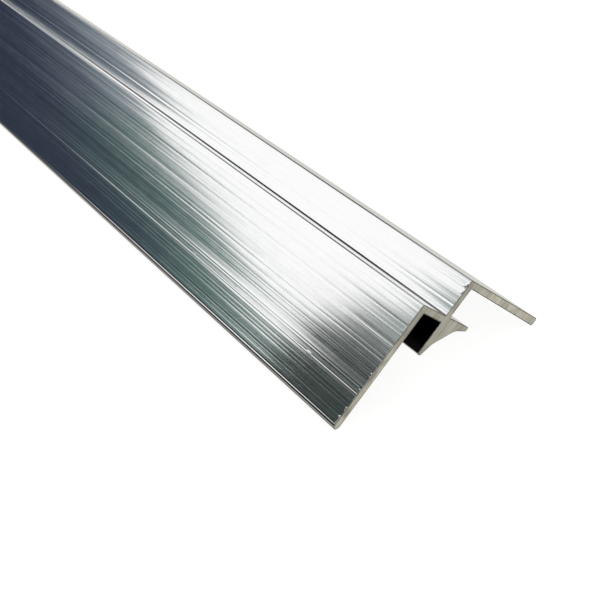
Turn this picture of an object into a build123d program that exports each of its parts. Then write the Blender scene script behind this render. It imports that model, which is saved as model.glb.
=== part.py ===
from build123d import *
from math import asin, atan2, degrees, hypot, radians, tan
import os

# Stock
stock_length = 1000.0
cut_lean = 2.6  # degrees that the saw cut at the +X end is out of square, the top edge standing out

# Front flange
front_height = 35.3
front_thickness = 2.4

# Shelf behind the top of the front flange, roof of the groove
shelf_thickness = 1.9
groove_width = 9.1

# Leg behind the groove, wedge-shaped in section
leg_drop = 9.4
leg_tip_thickness = 1.6
leg_root_thickness = 2.95

# Horn that reaches back from the leg, its top in line with the shelf
horn_reach = 10.9
horn_root_thickness = 2.3
horn_tip_thickness = 1.2

# Gusset in the corner between leg and horn
gusset_run = 5.45
gusset_rise = 5.4
gusset_blend = 4.5

# Web from the shelf up to the rear flange
web_thickness = 2.3
slot_height = 8.3

# Rear flange, a little thicker at its end than at the web
rear_depth = 43.0
rear_root_thickness = 1.9
rear_end_thickness = 2.4

# Rounding of edges
foot_radius = 1.1
rear_end_radius = 0.9
tip_radius = 0.55
edge_radius = 0.4
inner_radius = 0.3

# Lines of the section: v runs back from the front face, u runs up from the front flange's lower edge
shelf_top = front_height
groove_roof = shelf_top - shelf_thickness
groove_back = front_thickness + groove_width
leg_tip = groove_roof - leg_drop
horn_underside = shelf_top - horn_root_thickness
gusset_back = groove_back + leg_root_thickness + gusset_run
web_back = groove_back + web_thickness
horn_end = web_back + horn_reach
slot_roof = shelf_top + slot_height
rear_end = groove_back + rear_depth


def limited(radius, wall):
    # An outer edge is rounded by no more than just under half of its wall
    return min(radius, 0.48 * wall)


foot = limited(foot_radius, front_thickness)
rear_foot = limited(rear_end_radius, rear_end_thickness)
leg_end = limited(tip_radius, leg_tip_thickness)
horn_nose = limited(tip_radius, horn_tip_thickness)
slot_floor_radius = limited(inner_radius, web_thickness)

# Corners of the section in order round it, as (v, u, radius)
corners = [
    (0, 0, foot),
    (front_thickness, 0, foot),
    (front_thickness, groove_roof, inner_radius),
    (groove_back, groove_roof, inner_radius),
    (groove_back, leg_tip, leg_end),
    (groove_back + leg_tip_thickness, leg_tip, leg_end),
    (groove_back + leg_root_thickness, horn_underside - gusset_rise, gusset_blend),
    (gusset_back, horn_underside, gusset_blend),
    (horn_end, shelf_top - horn_tip_thickness, horn_nose),
    (horn_end, shelf_top, horn_nose),
    (web_back, shelf_top, slot_floor_radius),
    (web_back, slot_roof, slot_floor_radius),
    (rear_end, slot_roof, rear_foot),
    (rear_end, slot_roof + rear_end_thickness, rear_foot),
    (groove_back, slot_roof + rear_root_thickness, edge_radius),
    (groove_back, shelf_top, inner_radius),
    (0, shelf_top, edge_radius),
]


def profile_section():
    # Filleted outline of the extrusion, drawn on the plane across the stock
    across = Plane(origin=(0, 0, 0), x_dir=(0, 1, 0), z_dir=(1, 0, 0))
    with BuildSketch(across) as sketch:
        with BuildLine():
            FilletPolyline(*[(v, u) for v, u, r in corners], radius=[r for v, u, r in corners], close=True)
        make_face()
    return sketch.sketch


def sawn_bar():
    # Stock of constant section, with one square end and one end cut a little out of square
    bar = extrude(profile_section(), amount=stock_length)
    top_edge = slot_roof + rear_end_thickness
    cut_plane = Plane(
        origin=(stock_length, 0, top_edge),
        x_dir=(0, 1, 0),
        z_dir=(1, 0, -tan(radians(cut_lean))),
    )
    return split(bar, bisect_by=cut_plane, keep=Keep.BOTTOM)


def resting_lean():
    # Angle in degrees between the section's v axis and a floor that touches both rounded feet from below
    run = (rear_end - rear_foot) - (front_thickness - foot)
    rise = (slot_roof + rear_foot) - foot
    return degrees(atan2(rise, run) + asin((foot - rear_foot) / hypot(run, rise)))


# The stock lies on its two feet, the front flange's lower edge and the rear flange's end
bar = Rot(X=-resting_lean()) * sawn_bar()
reach = bar.bounding_box()
extruded_profile = Pos(-reach.center().X, -reach.center().Y, -reach.min.Z) * bar

os.makedirs("parts", exist_ok=True)
export_step(extruded_profile, "parts/extruded_profile.step")
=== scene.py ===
import math

import bpy
import numpy as np
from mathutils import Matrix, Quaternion, Vector


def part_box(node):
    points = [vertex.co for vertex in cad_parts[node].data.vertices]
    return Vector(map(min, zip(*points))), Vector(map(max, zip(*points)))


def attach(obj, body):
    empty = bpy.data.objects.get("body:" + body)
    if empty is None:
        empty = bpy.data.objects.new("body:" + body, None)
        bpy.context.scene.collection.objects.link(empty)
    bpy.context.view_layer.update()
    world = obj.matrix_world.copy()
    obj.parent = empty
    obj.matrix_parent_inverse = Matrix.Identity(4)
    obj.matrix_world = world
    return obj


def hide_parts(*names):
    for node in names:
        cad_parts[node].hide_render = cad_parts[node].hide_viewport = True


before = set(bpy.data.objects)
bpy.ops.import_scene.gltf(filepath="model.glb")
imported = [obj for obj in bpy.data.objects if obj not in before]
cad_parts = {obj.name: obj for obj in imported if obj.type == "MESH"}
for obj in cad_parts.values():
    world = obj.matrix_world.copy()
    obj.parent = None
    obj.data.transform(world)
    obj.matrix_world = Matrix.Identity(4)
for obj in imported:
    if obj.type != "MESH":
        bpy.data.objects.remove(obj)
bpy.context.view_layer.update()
print("frame loaded")

perMetre = 1000  # millimetres

# Section of the bar in millimetres: v runs back from the front face, u runs up from the front flange's
# lower edge
barSize = {
    "frontHeight": 35.3,
    "frontThickness": 2.4,
    "shelfThickness": 1.9,
    "grooveWidth": 9.1,
    "legDrop": 9.4,
    "legTipThickness": 1.6,
    "legRootThickness": 2.95,
    "hornReach": 10.9,
    "hornRootThickness": 2.3,
    "hornTipThickness": 1.2,
    "gussetRun": 5.45,
    "gussetRise": 5.4,
    "gussetBlend": 4.5,
    "webThickness": 2.3,
    "slotHeight": 8.3,
    "rearDepth": 43.0,
    "rearRootThickness": 1.9,
    "rearEndThickness": 2.4,
    "footRadius": 1.1,
    "rearEndRadius": 0.9,
    "tipRadius": 0.55,
    "edgeRadius": 0.4,
    "innerRadius": 0.3,
    "roundest": 0.48,  # an outer edge's radius is at most this share of its wall
    "lean": 39.855,  # degrees that the front face leans back as the bar rests on its two feet
    "cutLean": 2.6,  # degrees that the saw cut at the +X end is out of square
}

# How finely the bar's surface is divided
barMesh = {
    "arcSteps": 9,
    # millimetres between points across the faces with die lines, and across the rest
    "fineStep": {"frontFace": 0.07, "webFace": 0.07, "shelfFace": 0.14, "rearFace": 0.14},
    "coarseStep": 0.9,
    "stations": 9,  # rings along the length
    "stationCrowding": 2.2,  # above 1 the rings crowd towards the shown end
    "sawBevel": 0.22,  # width of the small bevel that the saw leaves round the end faces
    "sawBevelDepth": 0.05,
    "burrZone": 1.2,  # length at the cut end where burrs bend the skin
    "burrRings": 8,
    "burrCurl": 3,  # higher values bend only the skin nearest the cut
    "burrKept": 0.7,  # share of a burr's lift that the bevel's inner edge follows
    "burrLean": 0.3,  # how far a burr leans out past the cut, as a share of its lift
}

# Die lines: raised or sunk lines that the die leaves along the whole bar
dieLines = {
    "seed": 7,
    "linesPerMillimetre": 6.0,
    "lineWidth": (0.07, 0.32),  # half widths in millimetres
    "lineSlope": 0.0029,  # usual slope of a line's flanks; a few lines are much steeper
    "lineTail": 2.2,  # lower values give more steep lines
    "steepestSlope": 0.015,
    "endFade": 0.3,  # millimetres over which the lines fade out at a face's ends
    # lines that stand out: height up the section, half width and height of the ridge, in millimetres
    "frontFace": [
        (1.30, 0.20, -0.0400), (2.6, 0.16, -0.0035), (3.0, 0.60, -0.0060), (3.6, 0.26, -0.0075),
        (4.3, 0.14, -0.0030), (6.2, 0.20, -0.0045), (7.0, 0.14, -0.0030), (8.05, 0.22, -0.0085),
        (8.9, 1.60, 0.0120), (9.83, 0.11, 0.0190), (11.4, 0.18, 0.0050), (12.0, 0.26, 0.0110),
        (13.7, 0.20, -0.0045), (13.5, 3.00, -0.0370), (14.6, 0.20, -0.0050), (16.3, 0.22, -0.0055),
        (17.8, 0.22, -0.0050), (19.65, 0.22, -0.0070), (22.9, 0.50, 0.0040), (23.5, 0.12, 0.0055),
        (24.0, 0.50, -0.0060), (26.6, 0.20, 0.0040), (29.2, 0.30, -0.0060), (30.8, 2.20, 0.0200),
        (33.2, 0.30, 0.0040),
    ],
    "webFace": [
        (36.9, 0.60, -0.0150), (37.3, 0.16, -0.0040), (38.43, 0.24, -0.0150), (39.75, 0.20, -0.0030),
        (40.15, 0.35, -0.0060), (41.1, 1.50, 0.0200), (42.9, 0.22, -0.0040), (44.4, 0.30, 0.0040),
    ],
}

# Burrs that the saw drags over the cut edge: height up the section, half width, reach back along the face
# and lift off it, in millimetres; a lift below 0 is a chip in the edge
burrs = {
    "frontFace": [
        (1.7, 1.0, 0.45, 0.02), (2.8, 0.5, 0.25, 0.01), (3.3, 0.35, 0.50, 0.12), (5.3, 0.5, 0.35, 0.02),
        (5.8, 0.35, 0.45, 0.05), (8.6, 0.9, 0.10, 0.01), (11.4, 0.3, 0.0, -0.08), (14.7, 0.4, 0.15, 0.02),
        (15.6, 0.3, 0.22, 0.04), (21.5, 0.8, 0.08, 0.01), (28.0, 0.9, 0.05, 0.01),
    ],
    "webFace": [(41.9, 0.4, 0.30, 0.08), (43.2, 0.3, 0.0, -0.15), (43.9, 0.5, 0.55, 0.12)],
}


def limited(radius, wall):
    return min(radius, barSize["roundest"] * wall)


def sectionCorners(s):
    # corners of the section in order round it, as (v, u, radius)
    shelfTop = s["frontHeight"]
    grooveRoof = shelfTop - s["shelfThickness"]
    grooveBack = s["frontThickness"] + s["grooveWidth"]
    legTip = grooveRoof - s["legDrop"]
    hornUnder = shelfTop - s["hornRootThickness"]
    gussetBack = grooveBack + s["legRootThickness"] + s["gussetRun"]
    webBack = grooveBack + s["webThickness"]
    hornEnd = webBack + s["hornReach"]
    slotRoof = shelfTop + s["slotHeight"]
    rearEnd = grooveBack + s["rearDepth"]
    foot = limited(s["footRadius"], s["frontThickness"])
    rearFoot = limited(s["rearEndRadius"], s["rearEndThickness"])
    legEnd = limited(s["tipRadius"], s["legTipThickness"])
    nose = limited(s["tipRadius"], s["hornTipThickness"])
    inner = s["innerRadius"]
    return np.array([
        (0, 0, foot),
        (s["frontThickness"], 0, foot),
        (s["frontThickness"], grooveRoof, inner),
        (grooveBack, grooveRoof, inner),
        (grooveBack, legTip, legEnd),
        (grooveBack + s["legTipThickness"], legTip, legEnd),
        (grooveBack + s["legRootThickness"], hornUnder - s["gussetRise"], s["gussetBlend"]),
        (gussetBack, hornUnder, s["gussetBlend"]),
        (hornEnd, shelfTop - s["hornTipThickness"], nose),
        (hornEnd, shelfTop, nose),
        (webBack, shelfTop, inner),
        (webBack, slotRoof, inner),
        (rearEnd, slotRoof, rearFoot),
        (rearEnd, slotRoof + s["rearEndThickness"], rearFoot),
        (grooveBack, slotRoof + s["rearRootThickness"], s["edgeRadius"]),
        (grooveBack, shelfTop, inner),
        (0, shelfTop, s["edgeRadius"]),
    ], float)


# the straight stretches that start at these corners carry die lines
fineStretches = {"rearFace": 13, "webFace": 14, "shelfFace": 15, "frontFace": 16}


def roundedOutline(corners, m):
    # Each corner becomes an arc: its centre lies on the bisector at radius / sin(half the inner angle), and
    # the arc's points are centre + radius * (cos a, sin a), a running evenly between the tangent points.
    # Straight stretches are even steps between one arc's end and the next arc's start.
    place, radius = corners[:, :2], corners[:, 2]
    toPrev = np.roll(place, 1, 0) - place
    toNext = np.roll(place, -1, 0) - place
    toPrev /= np.linalg.norm(toPrev, axis=1)[:, None]
    toNext /= np.linalg.norm(toNext, axis=1)[:, None]
    half = np.arccos(np.clip((toPrev * toNext).sum(1), -1, 1)) / 2
    bisector = toPrev + toNext
    bisector /= np.linalg.norm(bisector, axis=1)[:, None]
    centre = place + bisector * (radius / np.sin(half))[:, None]
    reach = (radius / np.tan(half))[:, None]
    arcStart, arcEnd = place + toPrev * reach, place + toNext * reach
    points, normals, stretch = [], [], []
    steps = {corner: m["fineStep"][name] for name, corner in fineStretches.items()}
    for i in range(len(corners)):
        a0 = math.atan2(*(arcStart[i] - centre[i])[::-1])
        a1 = math.atan2(*(arcEnd[i] - centre[i])[::-1])
        turn = (a1 - a0 + math.pi) % (2 * math.pi) - math.pi
        a = a0 + turn * np.linspace(0, 1, m["arcSteps"])
        ray = np.stack([np.cos(a), np.sin(a)], 1)
        points.append(centre[i] + radius[i] * ray)
        normals.append(ray * np.sign(turn))
        stretch.append(np.full(len(a), -1))
        run = np.roll(arcStart, -1, 0)[i] - arcEnd[i]
        length = np.linalg.norm(run)
        count = max(1, round(length / steps.get(i, m["coarseStep"])))
        t = np.arange(1, count)[:, None] / count
        points.append(arcEnd[i] + run * t)
        outward = np.array([run[1], -run[0]]) / length
        normals.append(np.tile(outward, (count - 1, 1)))
        stretch.append(np.full(count - 1, i))
    return np.concatenate(points), np.concatenate(normals), np.concatenate(stretch)


def bells(at, centre, halfWidth, height):
    # height * exp(-(distance / half width)^2), summed over all the lines
    away = (at[:, None] - centre[None, :]) / halfWidth[None, :]
    return (height[None, :] * np.exp(-away * away)).sum(1)


def tents(at, centre, halfWidth, height):
    # height * (1 - distance / half width), never past 0, summed over all the burrs
    near = np.clip(1 - np.abs(at[:, None] - centre[None, :]) / halfWidth[None, :], 0, 1)
    return (height[None, :] * near).sum(1)


def dieRelief(along, seed, strong):
    # Sum of bell-shaped ridges and hollows at places drawn at random along the outline, and the listed
    # ones. A bell's height is its slope times its half width.
    random = np.random.default_rng(seed)
    reach = along.max()
    count = round(reach * dieLines["linesPerMillimetre"])
    width = random.uniform(*dieLines["lineWidth"], count)
    slope = dieLines["lineSlope"] * random.standard_t(dieLines["lineTail"], count)
    slope = np.clip(slope, -dieLines["steepestSlope"], dieLines["steepestSlope"])
    relief = bells(along, random.uniform(0, reach, count), width, slope * width)
    if len(strong):
        centre, halfWidth, height = np.array(strong).T
        relief += bells(along, centre, halfWidth, height)
    return relief


def barOutline(points, normals, stretch):
    # point + outward normal * relief; a face's relief is taken about its mean and fades out at its ends
    relief = np.zeros(len(points))
    for number, name in enumerate(["frontFace", "webFace", "shelfFace", "rearFace"]):
        on = stretch == fineStretches[name]
        along = points[on, 1] if name in ("frontFace", "webFace") else points[on, 0]
        start = along.min()
        strong = [(centre - start, halfWidth, height)
                  for centre, halfWidth, height in dieLines.get(name, [])]
        height = dieRelief(along - start, dieLines["seed"] + number, strong)
        nearestEnd = np.minimum(along - start, along.max() - along)
        relief[on] = (height - height.mean()) * np.clip(nearestEnd / dieLines["endFade"], 0, 1)
    return points + normals * relief[:, None]


def barPose(points):
    # the section's axes in the bar's frame, and where its zero point lies once the bar rests on its feet
    lean = math.radians(barSize["lean"])
    turn = np.array([[math.cos(lean), -math.sin(lean)], [math.sin(lean), math.cos(lean)]])
    resting = points @ turn
    return turn, np.array([-(resting[:, 0].max() + resting[:, 0].min()) / 2, -resting[:, 1].min()])


def sawDrop():
    # how far back the out-of-square cut lies for each millimetre below the bar's top edge
    return math.tan(math.radians(barSize["cutLean"]))


def barMeshData():
    # Position = (x, v cos(lean) + u sin(lean), u cos(lean) - v sin(lean)), the outline carried along x.
    # The ring at the cut end follows the saw: x falls by tan(cut lean) per millimetre under the top edge.
    # Near the cut a burr lifts the skin by lift * (1 - distance back / burr zone) ^ curl.
    points, normals, stretch = roundedOutline(sectionCorners(barSize), barMesh)
    outline, m = barOutline(points, normals, stretch), barMesh
    turn, foot = barPose(points)
    lo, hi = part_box("extruded_profile")
    near, far = hi.x * perMetre, lo.x * perMetre
    sawX = near - sawDrop() * (points[:, 1].max() - points[:, 1])

    lift, reach = np.zeros(len(points)), np.zeros(len(points))
    for name, listed in burrs.items():
        centre, halfWidth, back, height = np.array(listed).T
        on = stretch == fineStretches[name]
        lift[on] = tents(points[on, 1], centre, halfWidth, height)
        reach[on] = tents(points[on, 1], centre, halfWidth, back)

    inset = outline - normals * m["sawBevel"]
    farRing = np.full(len(points), far)
    rings = [(inset, farRing), (outline, farRing + m["sawBevelDepth"])]
    t = np.linspace(0, 1, m["stations"])[1:-1]
    for share in 1 - (1 - t) ** m["stationCrowding"]:
        rings.append((outline, far + (sawX - m["burrZone"] - far) * share))
    for back in np.linspace(m["burrZone"], m["sawBevelDepth"], m["burrRings"]):
        bend = (1 - (back - m["sawBevelDepth"]) / m["burrZone"]) ** m["burrCurl"]
        rings.append((outline + normals * (lift * bend)[:, None], sawX - back))
    lastLift = normals * (lift * m["burrKept"])[:, None]
    rings.append((inset + lastLift, sawX + np.maximum(lift, 0) * m["burrLean"]))
    section = np.stack([ring[0] for ring in rings])
    x = np.stack([ring[1] for ring in rings])
    yz = section @ turn + foot
    vertices = np.stack([x, yz[..., 0], yz[..., 1]], -1).reshape(-1, 3) / perMetre

    count, ringCount = len(outline), len(rings)
    i = np.arange(count)
    k = np.arange(ringCount - 1)[:, None]
    a = k * count + i
    b = k * count + (i + 1) % count
    quads = np.stack([a, b, b + count, a + count], -1).reshape(-1, 4)
    farCap = np.arange(count)[::-1]
    cutCap = np.arange(count) + (ringCount - 1) * count
    return vertices, quads, [farCap, cutCap], ringCount, np.tile(reach, ringCount)


# which of the bar's materials each kind of face gets
finishPlace = {"mill": 0, "sawnEdge": 1, "sawn": 2}


def makeBar():
    vertices, quads, caps, ringCount, reach = barMeshData()
    count = len(caps[0])
    mesh = bpy.data.meshes.new("extrudedBar")
    mesh.from_pydata(vertices.tolist(), [], quads.tolist() + [cap.tolist() for cap in caps])
    ring = np.repeat(np.arange(ringCount - 1), count)
    sides = np.where(np.isin(ring, [0, ringCount - 2]), finishPlace["sawnEdge"], finishPlace["mill"])
    finishes = np.append(sides, [finishPlace["sawn"]] * len(caps)).astype(np.int32)
    mesh.polygons.foreach_set("use_smooth", np.ones(len(mesh.polygons), bool))
    mesh.polygons.foreach_set("material_index", finishes)
    mesh.update()
    mesh.attributes.new("burrReach", "FLOAT", "POINT").data.foreach_set("value", reach)
    # the edge between the faces from the die and the sawn bevel is sharp, and so is the bevel's inner edge
    ends = np.zeros(len(mesh.edges) * 2, np.int32)
    mesh.edges.foreach_get("vertices", ends)
    ends = ends.reshape(-1, 2) // count
    same = ends[:, 0] == ends[:, 1]
    sharp = same & np.isin(ends[:, 0], [0, 1, ringCount - 2, ringCount - 1])
    flag = mesh.attributes.get("sharp_edge") or mesh.attributes.new("sharp_edge", "BOOLEAN", "EDGE")
    flag.data.foreach_set("value", sharp)
    bar = bpy.data.objects.new("aluminium_profile", mesh)
    bpy.context.scene.collection.objects.link(bar)
    return bar


class Sock:
    # A shader socket that adds Math nodes when it is worked with
    def __init__(self, tree, out):
        self.tree, self.out = tree, out

    def math(self, operation, other=0.0):
        return self.tree.node("ShaderNodeMath", {"operation": operation}, {0: self, 1: other})

    def reflected(self, operation, other):
        return self.tree.node("ShaderNodeMath", {"operation": operation}, {0: other, 1: self})

    def __add__(self, other):
        return self.math("ADD", other)

    def __sub__(self, other):
        return self.math("SUBTRACT", other)

    def __rsub__(self, other):
        return self.reflected("SUBTRACT", other)

    def __mul__(self, other):
        return self.math("MULTIPLY", other)

    def __truediv__(self, other):
        return self.math("DIVIDE", other)

    def __rtruediv__(self, other):
        return self.reflected("DIVIDE", other)

    __radd__, __rmul__ = __add__, __mul__


class Tree:
    zero = (0, 0, 0)  # where the section's zero point lies at the near end, set once the bar is placed

    def __init__(self, owner):
        owner.use_nodes = True
        self.nodes, self.links = owner.node_tree.nodes, owner.node_tree.links
        self.nodes.clear()

    def node(self, kind, settings=None, inputs=None, output=0):
        made = self.nodes.new(kind)
        for name, value in (settings or {}).items():
            setattr(made, name, value)
        for name, value in (inputs or {}).items():
            if isinstance(value, Sock):
                self.links.new(value.out, made.inputs[name])
            else:
                made.inputs[name].default_value = value
        return Sock(self, made.outputs[output]) if made.outputs else None

    def section(self, size):
        # Object coordinates turned to the section's axes and divided by a size in millimetres, measured
        # from the near end: along the bar, back from the front face and up the front face
        where = self.node("ShaderNodeTexCoord", output="Object")
        return self.node("ShaderNodeMapping", {"vector_type": "TEXTURE"}, {
            "Vector": where,
            "Location": self.zero,
            "Rotation": (-math.radians(barSize["lean"]), 0, 0),
            "Scale": [edge / perMetre for edge in size],
        })

    def split(self, vector):
        parted = self.node("ShaderNodeSeparateXYZ", None, {"Vector": vector}).out.node
        return [Sock(self, parted.outputs[axis]) for axis in "XYZ"]

    def noise(self, size, detail=2.0, roughness=0.5):
        return self.node("ShaderNodeTexNoise", None, {
            "Vector": self.section(size), "Scale": 1.0, "Detail": detail, "Roughness": roughness})

    def ramp(self, value, low, high, toLow=0.0, toHigh=1.0):
        return self.node("ShaderNodeMapRange", {"clamp": True}, {
            "Value": value, "From Min": low, "From Max": high, "To Min": toLow, "To Max": toHigh})

    def blend(self, factor, first, second):
        # inputs 6 and 7 of a Mix node are its two colours, and output 2 is the mixed one
        return self.node("ShaderNodeMix", {"data_type": "RGBA"}, {0: factor, 6: first, 7: second}, output=2)

    def bump(self, height, distance, below=None):
        inputs = {"Height": height, "Distance": distance}
        if below is not None:
            inputs["Normal"] = below
        return self.node("ShaderNodeBump", None, inputs)

    def finish(self, shader):
        self.node("ShaderNodeOutputMaterial", None, {"Surface": shader})


# Finish of the faces that the die leaves, with painted shade and a painted highlight; lengths are in
# millimetres, and patterns' sizes run along the bar, back from the front face and up it
millLook = {
    "color": (0.86, 0.865, 0.87, 1),
    "roughness": 0.095,
    "streakSize": (500, 1.0, 1.0),
    "streakRange": (0.42, 0.72),  # of the noise: plain below, dullest above
    "streakRoughness": 0.08,  # how much rougher the dullest streaks are
    "patchSize": (6, 1.4, 1.4),
    "patchRange": (0.3, 0.7),
    "patchRoughness": 0.015,  # how much rougher or smoother a patch is
    "grooveShadeColor": (0.08, 0.08, 0.085, 1),  # painted shade inside the groove
    "grooveBorder": 0.1,
    "shelfHighlightColor": (0.93, 0.935, 0.94, 1),  # the shelf is painted lighter: a painted highlight
    "shelfShine": 0.05,  # and that much smoother
    "shelfBand": (0.15, 0.05),  # distance from the shelf's height where that starts and is full
    # painted shade and a painted reflection in bands round the front flange's lower edge: heights where a
    # band starts and is full, its strength and colour
    "footShadeBands": [
        (1.08, 1.00, 0.95, (0.055, 0.038, 0.06, 1)),  # painted shade: a dark line above the lip
        (0.74, 0.66, 1.0, (0.44, 0.44, 0.41, 1)),  # painted reflection: the lip in gray
        (0.42, 0.32, 1.0, (0.10, 0.10, 0.09, 1)),  # painted contact shadow where the bar rests
    ],
    # painted shade: colour of the dark lines along the web's lower corner and upper edge
    "lineShadeColor": (0.055, 0.038, 0.06, 1),
    # painted shade along the web's lower corner and upper edge: how far in front of and above it the middle
    # lies, squared distances where it is full and where it ends, and its strength
    "lineShade": {"shelfCorner": (0.15, 0.0, 0.02, 0.08, 0.85), "topEdge": (0.0, 0.19, 0.08, 0.20, 0.95)},
    "lineShadeThins": (60, 170, 0.35),  # from the first to the second distance from the cut, by that much
    "smearReach": 0.16,  # dull metal that the saw drags over the cut edge, apart from the burrs' own reach
    "smearRagged": 0.25,
    "smearGrain": (0.35, 0.35, 0.35),
    "smearBorder": 0.06,
    "smearRoughness": 0.4,
    "longLineSize": (160, 0.75, 0.75),
    "longLineDepth": 0.0000016,  # this and the other depths are in metres
    "fineLineSize": (900, 0.25, 0.25),
    "fineLineDepth": 0.0000007,
    # small nicks in the front face: distance from the cut, height up it, half length and half width
    "nicks": [(19.0, 9.95, 1.0, 0.45), (49.4, 10.9, 0.6, 0.22), (67.6, 10.3, 0.7, 0.22)],
    "nickFull": 0.2,  # a nick is deepest inside this share of its squared size
    "nickDepth": 0.00003,
    "nickRoughness": 0.15,
}

# Finish of the sawn ends, with painted shade near the shelf and round the cut's outline, measured in the
# same way
sawnLook = {
    "color": (0.59, 0.575, 0.505, 1),
    "lightColor": (0.77, 0.75, 0.65, 1),  # on the rear flange and low on the front flange
    "darkColor": (0.41, 0.38, 0.335, 1),
    # painted shade along the cut's outline, on the saw's bevel; the dark nicks in the cut take it too
    "edgeShadeColor": (0.10, 0.09, 0.075, 1),
    "roughness": 0.5,
    "markSize": (1, 0.8, 7),  # marks of the saw's teeth
    "markDepth": 0.00003,
    "markShare": 0.6,  # of the darkness; blotches give the rest
    "blotchSize": (1, 5, 5),
    "darkRange": (0.56, 0.42),
    "blotchRange": (0.62, 0.42),
    "blotchDark": (0.45, 1.0),  # how dark the marks are outside the blotches and in them
    "rearLight": (14, 24),  # depths between which the rear flange turns light
    "rearEndLight": (50, 42, 0.5),  # towards its end it falls to this share
    "rearDark": (18, 26, 0.7),  # the marks are weaker there
    "frontLight": (27, 22, 0.65),  # heights below which the front flange turns light, and how much
    # the front flange is darker near the shelf: depths and heights between which that starts, heights where
    # it ends, and how much
    "shadeDepths": (2.9, 2.3),
    "shadeHeights": (22, 26),
    "shadeTop": (35, 33),
    "shade": 0.45,
    "nicks": [(41.2, 43.75, 0.35)],  # dark nicks in the cut: depth and height in the section, and radius
    "nickFull": 0.5,
    "grainSize": (0.2, 0.2, 0.6),
    "grainDepth": 0.00001,
    "edgeGrain": (0.6, 0.6, 0.6),
    "edgeRange": (0.4, 0.7),
}


def millFinishAndShade():
    material = bpy.data.materials.new("millFinishAndShade")
    tree = Tree(material)
    along, depth, height = tree.split(tree.section((1, 1, 1)))
    grooveRoof = barSize["frontHeight"] - barSize["shelfThickness"]
    grooveBack = barSize["frontThickness"] + barSize["grooveWidth"]
    top = barSize["frontHeight"] + barSize["slotHeight"] + barSize["rearRootThickness"]

    # the groove's walls are painted dark: painted shade in the recess
    border = millLook["grooveBorder"]
    inside = tree.ramp(depth, barSize["frontThickness"] - border, barSize["frontThickness"])
    inside = inside * tree.ramp(depth, grooveBack + border, grooveBack)
    inside = inside * tree.ramp(height, grooveRoof + border, grooveRoof)
    color = tree.blend(inside, millLook["color"], millLook["grooveShadeColor"])
    # painted highlight: the shelf is painted lighter, and it is smoother
    shelf = tree.ramp((height - barSize["frontHeight"]).math("ABSOLUTE"), *millLook["shelfBand"])
    color = tree.blend(shelf, color, millLook["shelfHighlightColor"])
    # painted shade and a painted reflection in bands round the front flange's lower edge
    for start, full, strength, bandColor in millLook["footShadeBands"]:
        color = tree.blend(tree.ramp(height, start, full, 0.0, strength), color, bandColor)

    # painted shade along the web's lower corner and its upper edge thins farther from the cut
    thinStart, thinEnd, thinning = millLook["lineShadeThins"]
    for place, cornerHeight in (("shelfCorner", barSize["frontHeight"]), ("topEdge", top)):
        inFront, over, full, end, most = millLook["lineShade"][place]
        aside = depth - (grooveBack - inFront)
        above = height - (cornerHeight + over)
        lineShade = tree.ramp(aside * aside + above * above, end, full)
        lineShade = lineShade * tree.ramp(along, -thinEnd, -thinStart, most - thinning, most)
        color = tree.blend(lineShade, color, millLook["lineShadeColor"])

    # the saw drags dull metal over the cut edge: back is the distance from the cut
    back = 0 - along - (top - height) * sawDrop()
    reach = tree.node("ShaderNodeAttribute", {"attribute_name": "burrReach"}, output="Fac")
    ragged = (tree.noise(millLook["smearGrain"]) - 0.5) * millLook["smearRagged"]
    smear = tree.ramp(reach + millLook["smearReach"] - back + ragged, 0.0, millLook["smearBorder"])
    color = tree.blend(smear, color, sawnLook["color"])

    streakNoise = tree.noise(millLook["streakSize"], detail=3.0, roughness=0.6)
    streaks = tree.ramp(streakNoise, *millLook["streakRange"])
    change = millLook["patchRoughness"]
    patches = tree.ramp(tree.noise(millLook["patchSize"]), *millLook["patchRange"], -change, change)
    rough = streaks * millLook["streakRoughness"] + patches + millLook["roughness"]
    marks = []
    for distance, up, halfLength, halfWidth in millLook["nicks"]:
        lengthwise = (along + distance) / halfLength
        crosswise = (height - up) / halfWidth
        marks.append(tree.ramp(lengthwise * lengthwise + crosswise * crosswise, 1.0, millLook["nickFull"]))
    nicks = sum(marks)
    rough = rough + nicks * millLook["nickRoughness"] + smear * millLook["smearRoughness"]
    rough = rough - shelf * millLook["shelfShine"]

    longNoise = tree.noise(millLook["longLineSize"], detail=1.0)
    longLines = tree.bump(longNoise, millLook["longLineDepth"])
    fineNoise = tree.noise(millLook["fineLineSize"], detail=1.0)
    fineLines = tree.bump(fineNoise, millLook["fineLineDepth"], below=longLines)
    normal = tree.bump(nicks, millLook["nickDepth"], below=fineLines)
    shader = tree.node("ShaderNodeBsdfPrincipled", None, {
        "Base Color": color, "Metallic": 1.0, "Roughness": rough, "Normal": normal})
    tree.finish(shader)
    return material


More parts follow.
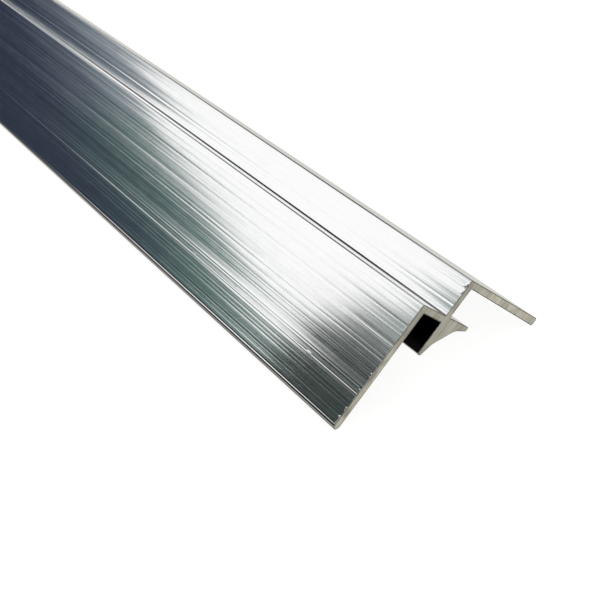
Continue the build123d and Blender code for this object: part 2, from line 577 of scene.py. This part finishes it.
def sawnFinishAndShade():
    material = bpy.data.materials.new("sawnFinishAndShade")
    tree = Tree(material)
    depth, height = tree.split(tree.section((1, 1, 1)))[1:]
    marks = tree.noise(sawnLook["markSize"], detail=3.0, roughness=0.65)
    blotches = tree.noise(sawnLook["blotchSize"])

    # the rear flange and the lower part of the front flange are lighter
    endStart, endFull, endShare = sawnLook["rearEndLight"]
    rear = tree.ramp(depth, *sawnLook["rearLight"]) * tree.ramp(depth, endStart, endFull, endShare, 1.0)
    lowStart, lowFull, lowShare = sawnLook["frontLight"]
    light = rear + tree.ramp(height, lowStart, lowFull) * lowShare
    color = tree.blend(light, sawnLook["color"], sawnLook["lightColor"])

    # the saw's marks come and go with the blotches
    mixed = marks * sawnLook["markShare"] + blotches * (1 - sawnLook["markShare"])
    fading = tree.ramp(blotches, *sawnLook["blotchRange"], *sawnLook["blotchDark"])
    dark = tree.ramp(mixed, *sawnLook["darkRange"]) * fading
    darkStart, darkFull, darkShare = sawnLook["rearDark"]
    dark = dark * tree.ramp(depth, darkStart, darkFull, 1.0, darkShare)
    # painted shade: the front flange is darker near the shelf
    shade = tree.ramp(depth, *sawnLook["shadeDepths"]) * tree.ramp(height, *sawnLook["shadeHeights"])
    dark = dark + shade * tree.ramp(height, *sawnLook["shadeTop"]) * sawnLook["shade"]
    color = tree.blend(dark, color, sawnLook["darkColor"])
    for back, up, radius in sawnLook["nicks"]:
        aside = (depth - back) / radius
        above = (height - up) / radius
        nick = tree.ramp(aside * aside + above * above, 1.0, sawnLook["nickFull"])
        color = tree.blend(nick, color, sawnLook["edgeShadeColor"])

    grain = tree.bump(tree.noise(sawnLook["grainSize"]), sawnLook["grainDepth"])
    normal = tree.bump(marks, sawnLook["markDepth"], below=grain)
    shader = tree.node("ShaderNodeBsdfPrincipled", None, {
        "Base Color": color, "Metallic": 1.0, "Roughness": sawnLook["roughness"], "Normal": normal})
    tree.finish(shader)
    return material


def sawnEdgeShade():
    material = bpy.data.materials.new("sawnEdgeShade")
    tree = Tree(material)
    # the saw's bevel is painted dark in patches: painted shade along the cut's outline
    patches = tree.ramp(tree.noise(sawnLook["edgeGrain"]), *sawnLook["edgeRange"])
    color = tree.blend(patches, sawnLook["edgeShadeColor"], sawnLook["darkColor"])
    shader = tree.node("ShaderNodeBsdfPrincipled", None, {
        "Base Color": color, "Metallic": 1.0, "Roughness": sawnLook["roughness"]})
    tree.finish(shader)
    return material


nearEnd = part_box("extruded_profile")[1].x
footY, footZ = barPose(roundedOutline(sectionCorners(barSize), barMesh)[0])[1] / perMetre
Tree.zero = (nearEnd, footY, footZ)
bar = makeBar()
for finish in (millFinishAndShade, sawnEdgeShade, sawnFinishAndShade):
    bar.data.materials.append(finish())
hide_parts("extruded_profile")
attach(bar, "root")
print("bar made:", len(bar.data.polygons), "faces")

# The camera of the photograph: it looks down on the cut end
shot = {
    "place": (0.596077, -0.137201, 0.148312),
    "azimuth": 47.967,
    "elevation": 38.156,
    "roll": 4.622,
    "lens": 53.032,
    "filmWidth": 36,
    "clip": (0.01, 50),  # metres
}


def direction(azimuth, elevation):
    # azimuth runs from -Y towards +X
    a, e = math.radians(azimuth), math.radians(elevation)
    return Vector((math.sin(a) * math.cos(e), -math.cos(a) * math.cos(e), math.sin(e)))


def makeCamera():
    data = bpy.data.cameras.new("camera")
    data.lens, data.sensor_width = shot["lens"], shot["filmWidth"]
    data.clip_start, data.clip_end = shot["clip"]
    camera = bpy.data.objects.new("camera", data)
    bpy.context.scene.collection.objects.link(camera)
    back = direction(shot["azimuth"], shot["elevation"])
    camera.rotation_mode = "QUATERNION"
    camera.location = shot["place"]
    roll = Quaternion((0, 0, 1), math.radians(shot["roll"]))
    camera.rotation_quaternion = (-back).to_track_quat("-Z", "Y") @ roll
    bpy.context.scene.camera = camera


makeCamera()
print("camera made")

# Studio: a pale floor, a light room, a bright window card and dark cards, which the bar's faces mirror and
# the camera doesn't see
studio = {
    "floorSize": 30.0,
    "floorDrop": 0.0002,
    "floorColor": (0.84, 0.84, 0.82, 1),
    "floorGlow": 0.70,  # the floor's own light in the bar's faces
    "floorSeenGlow": 0.55,  # and that much more before the camera
    "floorPaper": 0.7,  # share of that light; matte floor, which takes the shadow, is the rest
    "floorTint": (1, 1, 0.94, 1),  # of its light in the bar's faces
    "roomColor": (0.87, 0.87, 0.84, 1),
    # Cards stand round the camera's mirror image in the front face: corners as (azimuth from -Y towards -X,
    # elevation) in degrees, and their distance in metres
    "cards": {
        "window": {"corners": [(38.4, 21.0), (43, 21.4), (46, 21.8), (48, 22.0), (51, 21.7), (54, 21.3),
                               (57, 22.0), (60, 22.4), (86, 22.3), (86, 27), (57, 31.5), (49, 35.5),
                               (40, 40), (31, 41), (33.2, 33.2), (34.75, 31.2), (34.85, 29.3),
                               (36.7, 27.3)],
                   "distance": 1.9, "color": (1.0, 1.0, 0.99), "strength": 1.13},
        "greenSill": {"corners": [(37.6, 19.4), (47, 19.4), (47, 22.5), (37.6, 22.5)], "distance": 1.95,
                      "color": (0.130, 0.225, 0.200)},
        "tealSill": {"corners": [(47, 19.4), (56, 19.2), (56, 22.5), (47, 22.5)], "distance": 1.95,
                     "color": (0.115, 0.187, 0.177)},
        "blueSill": {"corners": [(56, 19.2), (86, 19.0), (86, 22.8), (56, 22.5)], "distance": 1.95,
                     "color": (0.200, 0.240, 0.270)},
        "greenWall": {"corners": [(37.6, 17.2), (47, 17.2), (47, 19.4), (37.6, 19.4)], "distance": 2.0,
                      "color": (0.066, 0.120, 0.107)},
        "tealWall": {"corners": [(47, 17.2), (58, 17.0), (58, 19.4), (47, 19.4)], "distance": 2.0,
                     "color": (0.047, 0.086, 0.092)},
        "blueWall": {"corners": [(58, 17.0), (86, 16.8), (86, 19.4), (58, 19.4)], "distance": 2.0,
                     "color": (0.075, 0.090, 0.125)},
        "farWall": {"corners": [(37.6, -8), (86, -8), (86, 18), (37.6, 18)], "distance": 2.2,
                    "color": (0.029, 0.037, 0.062)},
        "nearWall": {"corners": [(2, -8), (38, -8), (38, 23.6), (2, 23.6)], "distance": 2.2,
                     "color": (0.036, 0.050, 0.046)},
        "nearGlow": {"corners": [(2, 23.6), (38, 23.6), (38, 27), (2, 27)], "distance": 2.2,
                     "color": (0.098, 0.108, 0.105)},
        "nearSky": {"corners": [(2, 27), (38, 27), (38, 41), (2, 41)], "distance": 2.2,
                    "color": (0.37, 0.425, 0.405)},
        "overWindow": {"corners": [(2, 41), (31, 41), (40, 40), (49, 35.5), (57, 31.5), (86, 27), (86, 62),
                                   (2, 62)],
                       "distance": 2.3, "color": (0.46, 0.47, 0.48)},
    },
    # Dark panels overhead, level like the floor: corners along x and y, and their height in metres
    "panels": {
        "darkPanel": {"corners": [(-3.6, -1.5), (-0.5, -1.5), (-0.5, 5.0), (-3.6, 5.0)], "height": 1.5,
                      "color": (0.085, 0.08, 0.09)},
        "backPanel": {"corners": [(0.8, -1.2), (2.0, -1.2), (3.2, 3.0), (2.0, 3.0)], "height": 1.9,
                      "color": (0.28, 0.29, 0.31)},
        "sidePanel": {"corners": [(1.0, -2.8), (2.0, -2.8), (2.8, -1.2), (1.7, -1.2)], "height": 1.6,
                      "color": (0.28, 0.29, 0.31)},
    },
}


def mirrorEye():
    # the camera's place reflected in the front face: place - 2 * (distance from the face) * face normal
    lean = math.radians(barSize["lean"])
    normal = Vector((0, -math.cos(lean), math.sin(lean)))
    lo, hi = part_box("extruded_profile")
    foot = Vector((hi.x, lo.y, lo.z))
    place = Vector(shot["place"])
    return place - 2 * (place - foot).dot(normal) * normal


def makeCard(name, corners, color, strength=1.0):
    mesh = bpy.data.meshes.new(name)
    mesh.from_pydata(corners, [], [list(range(len(corners)))])
    card = bpy.data.objects.new(name, mesh)
    bpy.context.scene.collection.objects.link(card)
    material = bpy.data.materials.new(name)
    tree = Tree(material)
    tree.finish(tree.node("ShaderNodeEmission", None, {"Color": (*color, 1), "Strength": strength}))
    mesh.materials.append(material)
    card.visible_camera = False
    card.visible_shadow = False
    card.visible_diffuse = False


def makeCards():
    eye = mirrorEye()
    for name, card in studio["cards"].items():
        corners = [eye + card["distance"] * direction(-azimuth, elevation)
                   for azimuth, elevation in card["corners"]]
        makeCard(name, corners, card["color"], card.get("strength", 1.0))
    for name, panel in studio["panels"].items():
        makeCard(name, [(x, y, panel["height"]) for x, y in panel["corners"]], panel["color"])


def makeFloor():
    half = studio["floorSize"] / 2
    mesh = bpy.data.meshes.new("floor")
    corners = [(-half, -half, 0), (half, -half, 0), (half, half, 0), (-half, half, 0)]
    mesh.from_pydata(corners, [], [(0, 1, 2, 3)])
    floor = bpy.data.objects.new("floor", mesh)
    bpy.context.scene.collection.objects.link(floor)
    material = bpy.data.materials.new("floor")
    tree = Tree(material)
    seen = tree.node("ShaderNodeLightPath", output="Is Camera Ray")
    mirrored = tree.node("ShaderNodeLightPath", output="Is Glossy Ray")
    matte = tree.node("ShaderNodeBsdfDiffuse", None, {"Color": studio["floorColor"]})
    tint = tree.blend(mirrored, (1, 1, 1, 1), studio["floorTint"])
    glow = seen * studio["floorSeenGlow"] + studio["floorGlow"]
    paper = tree.node("ShaderNodeEmission", None, {"Color": tint, "Strength": glow})
    share = (seen + mirrored) * studio["floorPaper"]
    tree.finish(tree.node("ShaderNodeMixShader", None, {0: share, 1: matte, 2: paper}))
    mesh.materials.append(material)
    floor.location.z = -studio["floorDrop"]


def makeRoom():
    world = bpy.data.worlds.new("room")
    bpy.context.scene.world = world
    tree = Tree(world)
    seen = tree.node("ShaderNodeLightPath", output="Is Camera Ray")
    room = tree.node("ShaderNodeBackground", None, {"Color": studio["roomColor"], "Strength": 1.0})
    white = tree.node("ShaderNodeBackground", None, {"Color": (1, 1, 1, 1), "Strength": 1.0})
    mixed = tree.node("ShaderNodeMixShader", None, {0: seen, 1: room, 2: white})
    tree.node("ShaderNodeOutputWorld", None, {"Surface": mixed})


makeFloor()
makeRoom()
makeCards()
bpy.context.scene.view_settings.view_transform = "Standard"
print("studio made")
